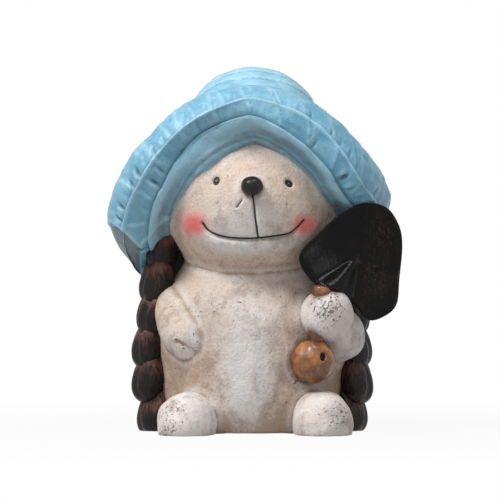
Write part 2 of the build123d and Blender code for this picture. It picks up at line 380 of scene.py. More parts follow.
def limb(path, radii):
    """Closed limb: a ball drawn out along a path, with a radius for each of its points."""
    bm, ball = ringed_ball(40, 44)
    path = smooth_line(path, 60)
    along = np.clip((1 - ball[:, 2]) / 2, 0, 1)
    knots = np.linspace(0, 1, len(path))
    centre = np.stack([np.interp(along, knots, path[:, k]) for k in range(3)], axis=1)
    radius = np.interp(along, np.linspace(0, 1, len(radii)), radii)
    run = path[-1] - path[0]
    run /= np.linalg.norm(run)
    side = np.cross(run, (0, 0, 1))
    side /= np.linalg.norm(side)
    front = np.cross(side, run)
    across = (radius * blunting(ball[:, 2], 0.22))[:, None]
    move_to(bm, centre + across * (ball[:, :1] * side + ball[:, 1:2] * front))
    return bm


class Value:
    """A shader socket that takes part in Python sums."""

    def __init__(self, paint, socket):
        self.paint = paint
        self.socket = socket

    def math(self, operation, first, second):
        """Adds a Math node for one operation."""
        return self.paint.node("ShaderNodeMath", {"operation": operation}, {0: first, 1: second})

    def __add__(self, other):
        return self.math("ADD", self, other)

    def __sub__(self, other):
        return self.math("SUBTRACT", self, other)

    def __rsub__(self, other):
        return self.math("SUBTRACT", other, self)

    def __mul__(self, other):
        return self.math("MULTIPLY", self, other)

    __radd__ = __add__
    __rmul__ = __mul__

    def swing(self, strength):
        """A noise taken about its middle, times a strength."""
        return (self - 0.5) * strength

    def up(self, low, high):
        """Smooth step from 0 at low to 1 at high."""
        settings = {"interpolation_type": "SMOOTHSTEP"}
        return self.paint.node("ShaderNodeMapRange", settings, {0: self, 1: low, 2: high})

    def down(self, low, high):
        """Smooth step from 1 at low to 0 at high."""
        return 1 - self.up(low, high)


class Paint:
    """The nodes of a procedural material, or of the world, under construction."""

    def __init__(self, owner):
        self.owner = owner
        owner.use_nodes = True
        self.tree = owner.node_tree
        self.tree.nodes.clear()

    def node(self, kind, settings=None, inputs=None, output=0):
        """Any node, with its settings first and then its sockets' values or links."""
        made = self.tree.nodes.new(kind)
        for key, value in (settings or {}).items():
            setattr(made, key, value)
        for key, value in (inputs or {}).items():
            if isinstance(value, Value):
                self.tree.links.new(value.socket, made.inputs[key])
            else:
                made.inputs[key].default_value = value
        return Value(self, made.outputs[output]) if len(made.outputs) else None

    def noise(self, size, detail=4.0, stretch=(1, 1, 1), shift=0.0):
        """Noise with grains of about the given size in millimetres, on Object coordinates."""
        place = self.node("ShaderNodeTexCoord", output="Object")
        mapped = self.node("ShaderNodeMapping", {}, {0: place, 1: (shift, shift, shift), 3: stretch})
        sockets = {"Vector": mapped, "Scale": 1 / (size * MM), "Detail": detail, "Roughness": 0.58}
        return self.node("ShaderNodeTexNoise", {}, sockets)

    def mask(self, name):
        """A number kept on the vertices under a name."""
        return self.node("ShaderNodeAttribute", {"attribute_name": name}, output="Fac")

    def white_rays(self):
        """1 on the rays that show the background: from the camera, off gloss and through glass."""
        names = ("Is Camera Ray", "Is Glossy Ray", "Is Transmission Ray")
        camera, glossy, through = [self.node("ShaderNodeLightPath", output=name) for name in names]
        return camera + glossy + through

    def mix(self, amount, first, second):
        """Colour between two colours."""
        colours = [c if isinstance(c, Value) else (*c, 1) for c in (first, second)]
        return self.node("ShaderNodeMix", {"data_type": "RGBA"}, {0: amount, 6: colours[0], 7: colours[1]},
                         output=2)

    def finish(self, colour, roughness, height, relief=0.2, coat=0.0, specular=0.5):
        """Closes the material with its colour, roughness and fine relief in millimetres."""
        bump = self.node("ShaderNodeBump", {}, {"Strength": 1.0, "Distance": relief * MM, "Height": height})
        sockets = {"Base Color": colour, "Roughness": roughness, "Normal": bump, "Coat Weight": coat,
                   "Coat Roughness": 0.12, "Specular IOR Level": specular}
        shader = self.node("ShaderNodeBsdfPrincipled", {}, sockets)
        self.node("ShaderNodeOutputMaterial", {}, {0: shader})
        return self.owner


def cream_paint(paints):
    """Antiqued cream cold paint: sprayed white, beige ground, tan staining, brown wash in creases, pits and
    ink lines, with painted light on the chest and lower lip and painted shade on the lower face, chin and
    belly's right side.
    """
    paint = Paint(bpy.data.materials.new("cream antiqued paint"))
    cloud = paint.noise(14, 5)
    smear = paint.noise(4.2, 8, stretch=(1, 1, 0.7), shift=4.0)
    grain = paint.noise(0.9, 3, shift=9.0)
    specks = paint.noise(1.3, 3, shift=17.0)
    # The pale mask is sprayed white, and also painted light: the paler chest and the highlight on the lower
    # lip.
    pale = paint.mask("pale") + cloud.swing(0.7) + smear.swing(0.5)
    colour = paint.mix(pale.up(0.1, 0.95), paints.beige, paints.cream)
    # The tan mixed here is partly real tan staining and partly painted shade on the lower face, the chin and
    # the right side of the belly.
    stain_and_shade = smear.swing(1.9) + cloud.swing(1.2) + grain.swing(0.6) + paint.mask("stain_and_shade") * 0.7
    colour = paint.mix(stain_and_shade.up(0.0, 0.85) * 0.72, colour, paints.tan)
    crease = paint.mask("crease") + smear.swing(0.35)
    rim = crease.up(0.02, 0.2) * crease.down(0.25, 0.5)
    colour = paint.mix(rim * 0.42, colour, paints.cream)
    colour = paint.mix(crease.up(0.4, 1.0) * 0.7, colour, paints.wash)
    colour = paint.mix(grain.up(0.46, 0.72) * pale.down(0.1, 0.9) * 0.36, colour, paints.tan)
    worn = specks + grain.swing(0.4) + cloud.swing(0.35) + paint.mask("speck") * 0.13
    pits = worn.up(0.72, 0.8)
    colour = paint.mix(pits * 0.8, colour, paints.wash)
    blush = paint.mask("blush") * (0.82 + 0.3 * grain)
    colour = paint.mix(blush.up(0.0, 1.0), colour, paints.blush)
    ink = paint.mask("ink").up(2.65, 3.15)
    colour = paint.mix(ink, colour, paints.ink)
    roughness = 0.58 + smear.swing(0.3) - ink * 0.3
    height = cloud * 0.8 + smear * 0.9 + grain * 0.35 - pits * 0.9
    return paint.finish(colour, roughness, height, relief=0.8, specular=0.4)


def hat_paint(paints):
    """Satin blue paint, rubbed pale on the ridges, washed dark in the grooves, with painted shade on the
    brim's inner side.
    """
    paint = Paint(bpy.data.materials.new("hat blue paint"))
    cloud = paint.noise(15, 4, shift=3.0)
    streak = paint.noise(3.0, 6, shift=7.0)
    grain = paint.noise(0.8, 3, shift=1.0)
    ridge = paint.mask("ridge")
    pale = ridge + cloud.swing(1.5) + streak.swing(1.2)
    colour = paint.mix(pale.up(-0.35, 0.85), paints.hat, paints.hat_pale)
    # Painted shade on the brim's inner side and on its lower left past the strips' end, mottled by noise.
    shade_and_mottle = paint.mask("inner") * 0.55 + streak.swing(1.1) + cloud.swing(0.7)
    colour = paint.mix(shade_and_mottle.up(0.1, 0.85) * 0.62, colour, paints.hat_wash)
    colour = paint.mix(shade_and_mottle.up(0.45, 1.1) * 0.4, colour, paints.tan)
    groove = paint.mask("groove") + streak.swing(0.6)
    colour = paint.mix(groove.up(0.15, 0.95) * 0.72, colour, paints.hat_wash)
    crease = paint.mask("crease") + streak.swing(0.5)
    colour = paint.mix(crease.up(0.3, 1.0) * 0.5, colour, paints.tan)
    colour = paint.mix(grain.up(0.54, 0.8) * 0.2, colour, paints.hat_wash)
    rubbed = ridge.up(0.55, 1.0) * streak.up(0.35, 0.6)
    colour = paint.mix(rubbed * 0.5, colour, paints.hat_pale)
    return paint.finish(colour, 0.4 + streak.swing(0.3), streak * 0.9 + grain * 0.35, relief=0.45)


def quill_paint(paints):
    """Dark brown gloss paint with reddish dry-brushed streaks along the quills."""
    paint = Paint(bpy.data.materials.new("quill brown paint"))
    streak = paint.noise(1.1, 6, stretch=(1, 1, 0.2))
    blotch = paint.noise(9, 3, shift=5.0)
    rub = paint.mask("rub") * 0.8 + streak.swing(2.0) + blotch.swing(1.3)
    colour = paint.mix(rub.up(0.1, 1.0) * 0.9, paints.quill, paints.quill_red)
    colour = paint.mix(rub.up(0.75, 1.3) * streak.up(0.5, 0.65) * 0.4, colour, paints.tan)
    return paint.finish(colour, 0.3 + streak.swing(0.35), streak, relief=0.9, coat=0.1, specular=0.2)


def blade_paint(paints):
    """Gloss black paint with faint brush streaks and dust."""
    paint = Paint(bpy.data.materials.new("blade black paint"))
    streak = paint.noise(0.9, 4, stretch=(1, 1, 0.2))
    dust = paint.noise(1.1, 2, shift=6.0)
    blotch = paint.noise(14, 3, shift=2.0)
    scuff = paint.mask("scuff")
    dusty = dust.up(0.56, 0.7) * scuff * 0.3 + streak.up(0.45, 0.75) * scuff * 0.14
    colour = paint.mix(dusty + blotch.up(0.5, 0.8) * 0.06, paints.blade, paints.wash)
    roughness = 0.1 + streak * 0.08 + scuff * 0.25
    return paint.finish(colour, roughness, streak * 0.4 + blotch, relief=0.3, specular=0.12)


def handle_paint(paints):
    """Glossy tan paint with brown blotches, and ink in the pits and in the knob's hanging hole, where the
    black is painted shade.
    """
    paint = Paint(bpy.data.materials.new("handle tan paint"))
    blotch = paint.noise(5.5, 5)
    grain = paint.noise(1.0, 3, shift=8.0)
    dark = blotch * 1.2 - 0.1 + paint.mask("crease") * 0.2 + grain.swing(0.4)
    colour = paint.mix(dark.up(0.3, 0.66), paints.handle, paints.handle_wash)
    pits = grain.up(0.7, 0.76)
    # The hanging hole is filled with ink as painted shade.
    colour = paint.mix(pits * 0.6 + paint.mask("hole"), colour, paints.ink)
    return paint.finish(colour, 0.28 + blotch * 0.2, blotch + grain * 0.4 - pits, relief=0.5, coat=0.3)


def nose_paint(paints):
    """Gloss black of the nose, rubbed in places."""
    paint = Paint(bpy.data.materials.new("nose black paint"))
    rub = paint.noise(2.2, 4)
    colour = paint.mix(rub.up(0.62, 0.78) * 0.35, paints.ink, paints.wash)
    return paint.finish(colour, 0.22 + rub * 0.2, rub, relief=0.2, specular=0.3)


PAINT_MAKERS = {
    "cream_slip": cream_paint, "hat_paint": hat_paint, "quill_paint": quill_paint,
    "blade_paint": blade_paint, "handle_paint": handle_paint, "nose_paint": nose_paint,
}
PAINTS_MADE = {}


def paint_of(slot):
    """The material of a slot, made when it is first asked for."""
    if slot not in PAINTS_MADE:
        PAINTS_MADE[slot] = PAINT_MAKERS[slot](bpy.context.scene.hedgehog_paints)
    return PAINTS_MADE[slot]


class HEDGEHOG_OT_belly(bpy.types.Operator):
    """Model the belly, the cream front half of the torso"""

    bl_idname = "hedgehog.belly"
    bl_label = "Belly"

    # Heights and wavelengths of the unevenness, and the heights over which it comes in above the flat base
    waves = ((0.5, 30), (0.22, 11))
    level_heights = (0.5, 8)
    # Pixels of the photograph: ovals of paint, the rows over which the chest is painted paler as painted
    # light and the belly turns darker towards the bottom, and the columns over which painted shade darkens
    # the right side
    spray = (247, 376, 32.4, 63)
    scratches = (222, 312, 24, 11)
    pits = (301, 379, 11, 8)
    chest_rows = (300, 365)
    foot_rows = (400, 432)
    shade_columns = (265, 330)

    def execute(self, context):
        bm = rounded(turned(BELLY_PROFILE, 40), 3)
        cut_flat(bm, (0, BELLY_BACK, 0), (0, 1, 0))
        places = coords(bm)
        swell = uneven(places, self.waves, 1)
        places = raised(bm, swell * fade(places[:, 2], *self.level_heights))
        column, row = screen(places)
        sprayed = patch(column, row, self.spray)
        low = fade(row, *self.chest_rows)
        # Painted light: the chest is painted paler above the chest rows.
        mark(bm, "pale", 0.1 + 0.9 * sprayed + 0.22 * (1 - low))
        # Darker towards the bottom, and painted shade on the right side.
        shaded = (0.25 + 0.7 * low) * (1 - sprayed) + 0.25 * fade(column, *self.shade_columns)
        mark(bm, "stain_and_shade", 0.45 * fade(row, *self.foot_rows) + shaded)
        worn = np.maximum(0.5 * patch(column, row, self.scratches), 1.4 * patch(column, row, self.pits))
        mark(bm, "speck", worn * (places[:, 1] < 0))
        piece("belly", bm, "cream_slip", "belly_shell")
        return {"FINISHED"}


class HEDGEHOG_OT_head(bpy.types.Operator):
    """Model the head with its muzzle, incised lines and sprayed cheeks"""

    bl_idname = "hedgehog.head"
    bl_label = "Head"

    # How much the ball's vertices crowd to the face, where the incised lines are
    crowding = 0.65
    waves = ((0.3, 24), (0.12, 8))
    # Swellings of the face, as ovals across and up from the head's centre, and how far they stand out
    muzzle_oval = (0, 3, 17, 13)
    cheek_oval = (24, -7, 11, 10)
    chin_oval = (0, -17, 18, 8)
    cheek_stand = 1.2
    chin_stand = 1.3
    upper_lip_stand = 0.9
    lower_lip_stand = 1.1
    # Half widths in pixels of the drawn lines and of the eyes' rings, and the rings' share of the eyes; the
    # unpainted middle inside each ring is the eye's painted glint
    drawn = ((MOUTH, 1.1), (LIP_LINE, 0.85), (SCRATCH, 0.5))
    ring_half = 1.6
    ring_share = 0.6
    # Pixels of the photograph: the mouth's ends, ovals of paint, and the rows and columns over which painted
    # shade darkens the lower face, its right side and the chin
    mouth_ends = ((200, 214), (292, 307))
    blushes = ((194.0, 224.5, 14.5, 12.5), (304.0, 226.0, 15.0, 11.0))
    spray = (250, 226, 62, 32)
    cheek_rows = (195, 220)
    shade_columns = (225, 290)
    chin_rows = (250, 275)

    def ring(self, column, row, eye):
        """Distance in pixels to the incised ring of an eye."""
        x, y, wide, high, lean = eye
        turn = math.radians(lean)
        across = (column - x) * math.cos(turn) + (row - y) * math.sin(turn)
        along = (row - y) * math.cos(turn) - (column - x) * math.sin(turn)
        share = oval_share(across, along, (0, 0, wide / 2, high / 2))
        return np.abs(share - self.ring_share) * (wide + high) / 4

    def line_gap(self, column, row):
        """Distance in pixels to the edge of the nearest incised line, below 0 on a line."""
        gaps = [line_distance(column, row, smooth_line(points, 60)) - half for points, half in self.drawn]
        gaps += [self.ring(column, row, eye) - self.ring_half for eye in EYES]
        return np.minimum.reduce(gaps)

    def execute(self, context):
        sizes = context.scene.hedgehog_sizes
        bm, ways = even_ball(7)
        ways = ways - np.array((0, self.crowding, 0))
        ways /= np.linalg.norm(ways, axis=1)[:, None]
        places = HEAD_CENTRE + ways * sizes.head_radius / MM
        x, z = places[:, 0], places[:, 2] - HEAD_CENTRE[2]
        facing = fade(-ways[:, 1], 0.0, 0.5)
        out = sizes.muzzle / MM * patch(x, z, self.muzzle_oval)
        out += self.cheek_stand * patch(np.abs(x), z, self.cheek_oval)
        out += self.chin_stand * patch(x, z, self.chin_oval)
        places += ways * (out * facing)[:, None]
        column, row = screen(places)
        (left, left_full), (right_full, right) = self.mouth_ends
        within = fade(column, left, left_full) * (1 - fade(column, right_full, right))
        above = np.interp(column, *smooth_line(MOUTH, 60).T) - row
        lip = self.upper_lip_stand * fade(above, -1, 1.5) * bell(np.maximum(above, 0), 22)
        lip += self.lower_lip_stand * fade(-above, 1, 4) * bell(-above - 7, 7)
        gap = self.line_gap(column, row)
        cut = bell(np.maximum(gap + 0.7, 0), 1.5) * sizes.line_depth / MM
        places += ways * ((lip * within - cut) * facing + uneven(places, self.waves, 3))[:, None]
        move_to(bm, places)
        # Ink of the lines and eye rings; the middle left inside each eye ring is a painted highlight, the
        # eye's glint.
        mark(bm, "ink", np.clip(3 - gap, 0, 6) * (ways[:, 1] < -0.1))
        blush = np.maximum.reduce([patch(column, row, oval) for oval in self.blushes])
        mark(bm, "blush", blush * facing)
        sprayed = patch(column, row, self.spray)
        # The pale band just under the mouth is a painted highlight on the lower lip; the rest is sprayed
        # white.
        mark(bm, "pale", sprayed * 0.75 + 0.5 * within * bell(-above - 8, 8))
        # Painted shade: the lower face darker, more so on its right side, and the chin darker still.
        shaded = fade(row, *self.cheek_rows) * (0.22 + 0.3 * fade(column, *self.shade_columns))
        mark(bm, "stain_and_shade", 0.05 * (1 - sprayed) + 0.5 * fade(row, *self.chin_rows) + shaded)
        piece("head", bm, "cream_slip")
        return {"FINISHED"}


class HEDGEHOG_OT_nose(bpy.types.Operator):
    """Model the nose ball with its chipped edge"""

    bl_idname = "hedgehog.nose"
    bl_label = "Nose"

    half_sizes = np.array((4.5, 4.4, 3.9))
    depth = -46.0
    # The chip's way from the ball's centre, and its width and depth as shares of the radius
    chip_way = np.array((0.78, -0.45, -0.45))
    chip_width_share = 0.28
    chip_depth_share = 0.12

    def execute(self, context):
        bm, ways = even_ball(5)
        chip = bell(np.linalg.norm(ways - self.chip_way, axis=1), self.chip_width_share)
        scale = 1 + uneven(ways, ((0.03, 1.2),), 5) - self.chip_depth_share * chip
        move_to(bm, spot(*NOSE_PLACE, self.depth) + ways * self.half_sizes * scale[:, None])
        piece("nose", bm, "nose_paint")
        return {"FINISHED"}


class HEDGEHOG_OT_limbs(bpy.types.Operator):
    """Model the two arms with their paws, and the two feet"""

    bl_idname = "hedgehog.limbs"
    bl_label = "Arms and feet"

    # Resting arm from the shoulder to the paw, and its finger creases and paw as pixels of the photograph
    right_path = ((-34.5, -9, 57), (-32, -16.5, 49.5), (-28, -25, 40.5), (-24.3, -31.5, 34))
    right_radii = (4.5, 7.6, 9.2, 8.8, 6.8)
    finger_creases = (((178, 341), (197, 349)), ((170, 350), (185, 364)))
    crease_depth = 1.3
    paw_rows = (312, 345)
    paw_depths = (20, 27)
    # Bent arm, as columns, rows and depths, its fist, and the fist's worn oval in pixels
    left_path = ((343, 340, -8), (342, 335, -20), (332, 316, -33))
    left_radii = (9, 9.5, 9)
    fist_half_sizes = (10.4, 9.6, 11.2)
    fist_worn = (328, 311, 19, 19)
    weld = 0.7
    # Each foot's centre, half sizes, whiteness of paint and seed; the left foot's lower whiteness is painted
    # shade on the side away from the key light
    feet = {
        "right_foot": ((-27.0, -36.0, 4.0), (11.8, 13.0, 13.3), 0.8, 10),
        "left_foot": ((29.0, -36.0, 4.0), (12.2, 13.0, 14.2), 0.65, 20),
    }
    foot_waves = ((0.4, 13), (0.15, 5))
    # Where a foot's toe is worn: way from its centre, outer side first, and width
    toe_way = (0.55, -0.7, 0.2)
    toe_width = 0.75

    def paint_limb(self, bm, whiteness):
        """Masks of the cream paint for one limb."""
        places = coords(bm)
        mark(bm, "pale", np.full(len(places), whiteness))
        mark(bm, "stain_and_shade", 0.38 + uneven(places, ((0.3, 16),), 6))

    def right_arm(self):
        """Resting arm with two finger creases in its paw."""
        bm = rounded(limb(self.right_path, self.right_radii), 1)
        places = coords(bm)
        outward = normals(bm)
        column, row = screen(places)
        creases = np.minimum.reduce([line_distance(column, row, line) for line in self.finger_creases])
        front = fade(-places[:, 1], *self.paw_depths)
        places -= outward * (self.crease_depth * bell(creases, 2.2) * front)[:, None]
        places += outward * uneven(places, ((0.3, 14),), 7)[:, None]
        move_to(bm, places)
        paw = fade(row, *self.paw_rows)
        mark(bm, "pale", 0.15 + 0.55 * paw)
        mark(bm, "stain_and_shade", 0.35 - 0.1 * paw + 0.9 * bell(creases, 2.6) * front)
        mark(bm, "speck", 0.7 * paw)
        piece("right_arm", bm, "cream_slip")

    def left_arm(self):
        """Bent arm whose fist holds the trowel's shaft."""
        bm = limb([spot(*pixel) for pixel in self.left_path], self.left_radii)
        fist = bmesh.ops.create_icosphere(bm, subdivisions=5, radius=1)["verts"]
        for vert in fist:
            vert.co = Vector(FIST) + Vector([c * half for c, half in zip(vert.co, self.fist_half_sizes)])
        bm = welded(bm, self.weld)
        relax(bm)
        places = raised(bm, uneven(coords(bm), ((0.3, 13),), 8))
        self.paint_limb(bm, 0.75)
        mark(bm, "speck", 1.7 * patch(*screen(places), self.fist_worn))
        piece("left_arm", bm, "cream_slip")

    def foot(self, name, centre, half_sizes, whiteness, seed):
        """Rounded foot, flat on the ground."""
        bm, ways = even_ball(5)
        places = np.array(centre) + ways * np.array(half_sizes)
        places += ways * uneven(places, self.foot_waves, seed)[:, None]
        places[:, 2] = np.maximum(places[:, 2], 0)
        move_to(bm, places)
        self.paint_limb(bm, whiteness)
        outer, fore, up = self.toe_way
        toe = np.array((math.copysign(outer, centre[0]), fore, up))
        mark(bm, "speck", bell(np.linalg.norm(ways - toe, axis=1), self.toe_width))
        piece(name, bm, "cream_slip")

    def execute(self, context):
        self.right_arm()
        self.left_arm()
        for name, values in self.feet.items():
            self.foot(name, *values)
        return {"FINISHED"}


class HEDGEHOG_OT_hat(bpy.types.Operator):
    """Model the sun hat: a rolled brim of three plaited strips, and the crown"""

    bl_idname = "hedgehog.hat"
    bl_label = "Sun hat"

    # Samples along each stretch of the brim's section, from the hem round to the bore, and how much of its
    # length each stretch bows out
    stretches = (30, 4, 30, 4, 28, 30, 6, 12)
    bow_shares = (0.05, 0, 0.08, 0, 0.09, -0.04, 0, 0)
    turns = 600
    land_gap = 1.5
    bore_radius = 25.5
    waves = ((0.35, 17), (0.15, 6))
    # Places of the hem's two threads and two grooves, as shares of the way to the first strip line
    thread_shares = (0.44, 0.58)
    groove_shares = (0.5, 0.36)
    # Stitch dimples: how far they lie past the strip's edge, half width, half length, depth, slant, shift
    # from strip to strip in pitches, and how many different depths are drawn
    dimple_past = 2.3
    dimple_wide = 0.68
    dimple_long = 1.7
    dimple_depth = 1.2
    dimple_slant = 0.12
    stitch_shift = 0.37
    stitch_kinds = 200
    # Raised brow beside each dimple
    brow_past = 2.4
    brow_aside = 1.5
    brow_wide = 0.9
    brow_height = 0.3
    # Laps of the plait along a strip: length, lean and height, and where they begin and end across it
    lap_length = 13.5
    lap_lean = 26.0
    lap_height = 0.3
    lap_limits = ((0, 2), (11, 15))
    # Rolled edge of a strip
    edge_past = -1.6
    edge_height = 0.45
    # Seam in pixels where the strips end, and the sunk clay beyond it, which is also painted dark as painted
    # shade
    end_wide = 1.6
    end_height = 0.5
    end_sink = 0.8
    # Crown
    coil_pitch = 6.5
    coil_height = 0.5
    crown_waves = ((0.25, 15),)
    crown_foot = 2.0

    def stations(self, angle, radius):
        """Hem, strip lines and rim at each angle from the front, out and up in millimetres."""
        away = np.degrees(np.minimum(angle, 2 * math.pi - angle))
        spread = len(angle) // 36
        window = np.hanning(2 * spread + 3)[1:-1]
        rows = []
        for line in range(4):
            parts = []
            for part in range(2):
                left = np.interp(away, STATION_ANGLES, [row[line][part] for row in BRIM_LEFT])
                right = np.interp(away, STATION_ANGLES, [row[line][part] for row in BRIM_RIGHT])
                ring = np.where(angle < math.pi, left, right)
                ring = np.concatenate((ring[-spread:], ring, ring[:spread]))
                parts.append(np.convolve(ring, window / window.sum(), "valid") * radius)
            rows.append(np.stack(parts, axis=1))
        return rows

    def section(self, angle, sizes):
        """Brim section points at each angle, bowed outwards between the stations."""
        hem, line_1, line_2, rim = self.stations(angle, sizes.brim_radius / MM)
        land_radius = sizes.crown_radius / MM + CROWN_SHIFT + self.land_gap
        land_out = np.broadcast_to((land_radius, CROWN_LAND), hem.shape)
        land_in = np.broadcast_to((self.bore_radius, CROWN_LAND), hem.shape)
        core = (hem + land_out) / 2
        inward = [(core - line) / np.linalg.norm(core - line, axis=1)[:, None] for line in (line_1, line_2)]
        step = sizes.strip_step / MM
        under_1, under_2 = line_1 + step * inward[0], line_2 + step * inward[1]
        corners = (hem, line_1, under_1, line_2, under_2, rim, land_out, land_in, hem)
        points = []
        for start, end, count, share in zip(corners, corners[1:], self.stretches, self.bow_shares):
            chord = end - start
            bow = np.stack((chord[:, 1], -chord[:, 0]), axis=1) * share * 4
            for t in np.arange(count) / count:
                points.append(start + chord * t + bow * t * (1 - t))
        section = np.stack(points, axis=1)
        for _ in range(2):
            section = (np.roll(section, 1, axis=1) + 2 * section + np.roll(section, -1, axis=1)) / 4
        return section

    def strip_relief(self, past, arc, stitch, pitch, depth):
        """Lift, groove and ridge of one strip, from the distances past its edge and along it."""
        aside = (stitch - np.rint(stitch)) * pitch - self.dimple_slant * (past - self.brow_past)
        dimple = bell(aside, self.dimple_wide) * bell(past - self.dimple_past, self.dimple_long) * depth
        brow = bell(aside + self.brow_aside, self.brow_wide) * depth
        brow *= bell(past - self.brow_past, self.dimple_long)
        (start, start_full), (end_full, end) = self.lap_limits
        on_strip = fade(past, start, start_full) * (1 - fade(past, end_full, end))
        lap = (arc / self.lap_length + past / self.lap_lean) % 1
        edge = bell(past - self.edge_past, 1.0)
        foot = 0.6 * bell(np.maximum(past, 0), 1.5) * (past > -0.8)
        lift = self.brow_height * brow - self.dimple_depth * dimple + self.edge_height * edge
        lift += self.lap_height * (lap - 0.5) * on_strip
        groove = np.maximum.reduce((dimple, foot, 0.25 * bell(lap, 0.05) * on_strip))
        ridge = np.maximum.reduce((edge, 0.6 * brow, 0.35 * bell(lap - 0.94, 0.07) * on_strip))
        return lift, groove, ridge

    def brim_relief(self, along, turn, angle, section, rings, pitch):
        """Lift, groove, ridge and inner side of the brim at its vertices."""
        steps = np.cumsum((0,) + self.stretches)
        share = along / steps[1]
        threads = [bell(share - place, width) for place, width in zip(self.thread_shares, (0.035, 0.03))]
        hem = (threads[0] + 0.8 * threads[1]) * (along < steps[1])
        # The hem's strip next to the face and the bore are marked for painted shade.
        inner = (1 - fade(share, 0.75, 1.02)) * (along <= steps[1]) + (along > steps[7])
        groove = 0.4 * sum(bell(share - place, 0.03) for place in self.groove_shares) * (along < steps[1])
        lift, ridge = 0.5 * hem, 0.8 * hem
        rng = np.random.default_rng(11)
        from_front = np.minimum(angle, 2 * math.pi - angle)[turn]
        for line, first in enumerate((steps[2], steps[4])):
            track = rings[:, first]
            hops = np.linalg.norm(np.roll(track, -1, axis=0) - track, axis=1)
            arc = np.concatenate(((0,), np.cumsum(hops)[:-1]))[turn]
            spacing = np.linalg.norm(section[:, first + 1] - section[:, first], axis=1)
            stitch = arc / pitch + self.stitch_shift * line
            depths = np.clip(1.5 * rng.random(self.stitch_kinds) - 0.2, 0, 1.2)
            depth = depths[np.rint(stitch).astype(int) % self.stitch_kinds]
            depth = depth * (0.35 + 0.65 * fade(from_front, 0.3, 1.0))
            strip = self.strip_relief((along - first) * spacing[turn], arc, stitch, pitch, depth)
            lift = lift + strip[0]
            groove = np.maximum(groove, strip[1])
            ridge = np.maximum(ridge, strip[2])
        return lift, groove, ridge, inner

    def brim(self, sizes):
        """Brim from a grid, rolled up round the hat axis and round its own section."""
        count = sum(self.stretches)
        bm = bmesh.new()
        bmesh.ops.create_grid(bm, x_segments=self.turns, y_segments=count, size=1)
        flat = coords(bm)
        turn = np.rint((flat[:, 0] + 1) / 2 * self.turns).astype(int) % self.turns
        along = np.rint((flat[:, 1] + 1) / 2 * count).astype(int) % count
        angle = 2 * math.pi * np.arange(self.turns) / self.turns
        section = self.section(angle, sizes)
        spokes = np.cos(angle)[:, None] * HAT_FRONT + np.sin(angle)[:, None] * HAT_SIDE
        rings = section[..., :1] * spokes[:, None] + section[..., 1:] * HAT_AXIS
        places = HAT_CENTRE + rings[turn, along]
        move_to(bm, places)
        pitch = sizes.stitch_pitch / MM
        lift, groove, ridge, inner = self.brim_relief(along, turn, angle, section, rings, pitch)
        column, row = screen(places)
        seam = bell(line_distance(column, row, BAND_END), self.end_wide)
        beyond = fade(row - np.interp(column, *zip(*BAND_END[:2])), 0, 4) * (column < BAND_END[1][0])
        # Painted shade: the inner side, and the brim past the strips' end at the lower left.
        mark(bm, "inner", np.maximum(inner, 1.5 * beyond))
        mark(bm, "groove", groove)
        mark(bm, "ridge", np.maximum(ridge, 1.3 * seam))
        mark(bm, "lift", lift * (1 - beyond) + self.end_height * seam - self.end_sink * beyond)
        bmesh.ops.remove_doubles(bm, verts=bm.verts, dist=0.01)
        bmesh.ops.recalc_face_normals(bm, faces=bm.faces)
        layer = bm.verts.layers.float["lift"]
        kept_lift = np.array([vert[layer] for vert in bm.verts])
        raised(bm, kept_lift + uneven(coords(bm), self.waves, 12))
        piece("hat_brim", bm, "hat_paint")

    def crown(self, sizes):
        """Dome with the plait's coils ringing it."""
        radius = sizes.crown_radius / MM
        bm, ways = even_ball(6)
        centre = HAT_CENTRE + HAT_AXIS * CROWN_LAND + HAT_SIDE * CROWN_SHIFT
        lap = np.arccos(np.clip(ways @ HAT_AXIS, -1, 1)) * radius / self.coil_pitch % 1
        relief = self.coil_height * (lap - 0.5) + uneven(ways * radius, self.crown_waves, 14)
        move_to(bm, centre + ways * (radius + relief)[:, None])
        mark(bm, "groove", 0.6 * bell(lap, 0.18))
        mark(bm, "ridge", 0.3 + 0.4 * bell(lap - 0.9, 0.15))
        cut_flat(bm, centre - HAT_AXIS * self.crown_foot, -HAT_AXIS)
        piece("hat_crown", bm, "hat_paint")

    def execute(self, context):
        self.brim(context.scene.hedgehog_sizes)
        self.crown(context.scene.hedgehog_sizes)
        return {"FINISHED"}


